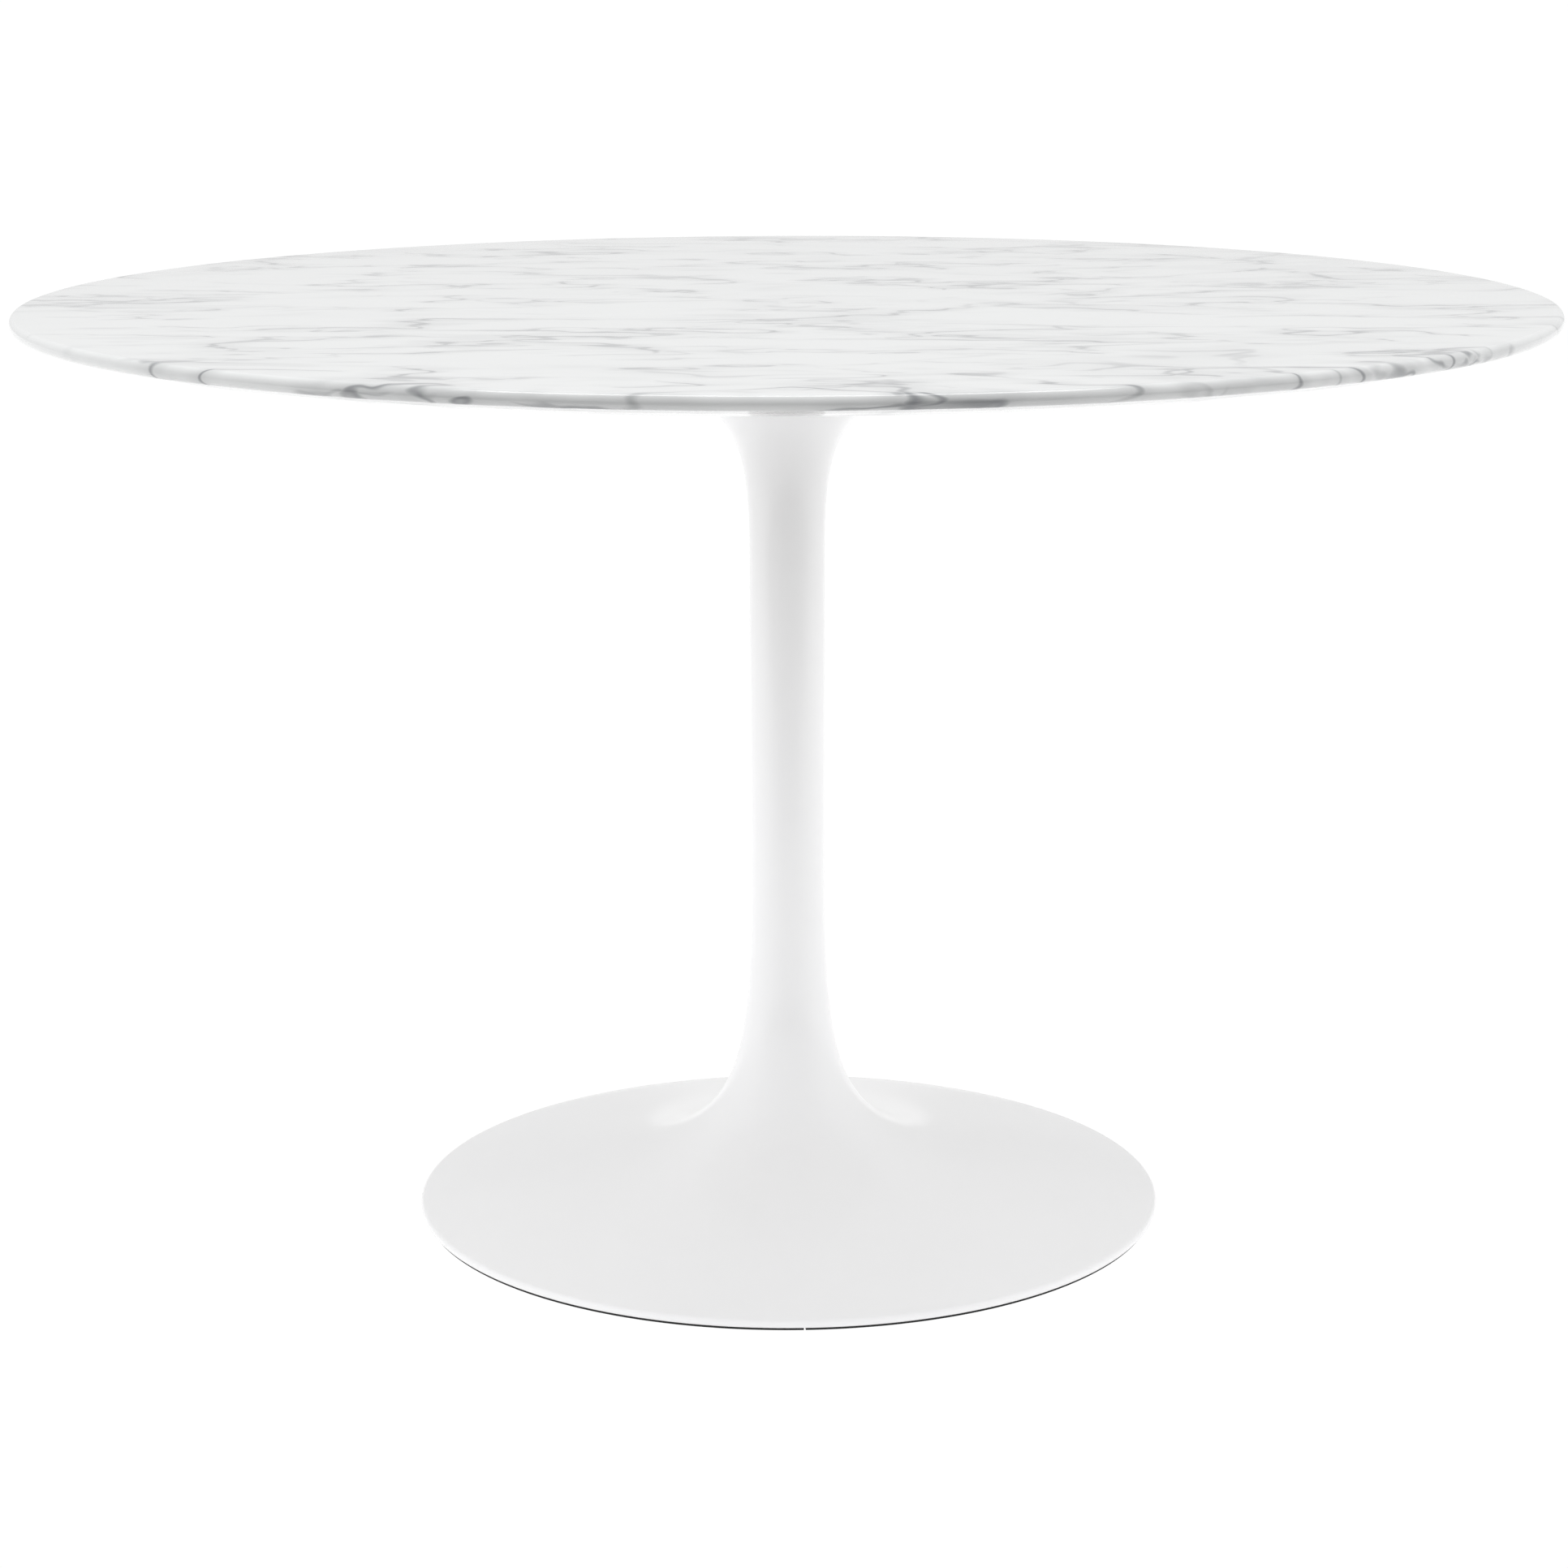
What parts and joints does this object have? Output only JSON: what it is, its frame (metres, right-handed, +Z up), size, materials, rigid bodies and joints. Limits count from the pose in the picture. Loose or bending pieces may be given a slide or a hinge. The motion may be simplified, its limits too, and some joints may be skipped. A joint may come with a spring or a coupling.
{
  "type": "round pedestal dining table",
  "caption": "Round dining table with a thin streaked marble slab on a glossy white trumpet-shaped cast pedestal and a low dished foot.",
  "frame": {"origin": "on the floor, at the centre of the round foot", "axes": "+Z up along the column, -Y to the front, where the ends of the edge strip meet"},
  "size_m": [1.2, 1.2, 0.743],
  "materials": {
    "marble": "polished artificial marble with fine grey streaks",
    "board": "white-painted fibreboard",
    "lacquer": "gloss white lacquer on an aluminium casting",
    "plate": "black powder coat",
    "zinc": "zinc-plated steel",
    "brass": "turned brass",
    "iron": "raw cast iron, primed grey",
    "panel": "textured black sheet",
    "rubber": "matt black rubber strip"
  },
  "bodies": {
    "root": {"marble_top": "marble", "backing_board": "board", "mounting_plate": "plate", "pedestal": "lacquer", "edge_strip": "rubber", "base_weight": "iron", "rod_washer": "zinc", "rod_nut": "zinc", "weld_nut": "zinc", "tie_rod": "zinc", "locating_pin_1": "zinc", "locating_pin_2": "zinc", "closing_panel": "panel", "threaded_insert_1": "brass", "plate_washer_1": "zinc", "plate_screw_1": "zinc", "threaded_insert_2": "brass", "plate_washer_2": "zinc", "plate_screw_2": "zinc", "threaded_insert_3": "brass", "plate_washer_3": "zinc", "plate_screw_3": "zinc", "threaded_insert_4": "brass", "plate_washer_4": "zinc", "plate_screw_4": "zinc", "threaded_insert_5": "brass", "plate_washer_5": "zinc", "plate_screw_5": "zinc", "threaded_insert_6": "brass", "plate_washer_6": "zinc", "plate_screw_6": "zinc", "threaded_insert_7": "brass", "plate_washer_7": "zinc", "plate_screw_7": "zinc", "threaded_insert_8": "brass", "plate_washer_8": "zinc", "plate_screw_8": "zinc", "panel_screw_1": "zinc", "panel_screw_2": "zinc", "panel_screw_3": "zinc", "panel_screw_4": "zinc", "panel_screw_5": "zinc", "panel_screw_6": "zinc"}
  },
  "joints": []
}
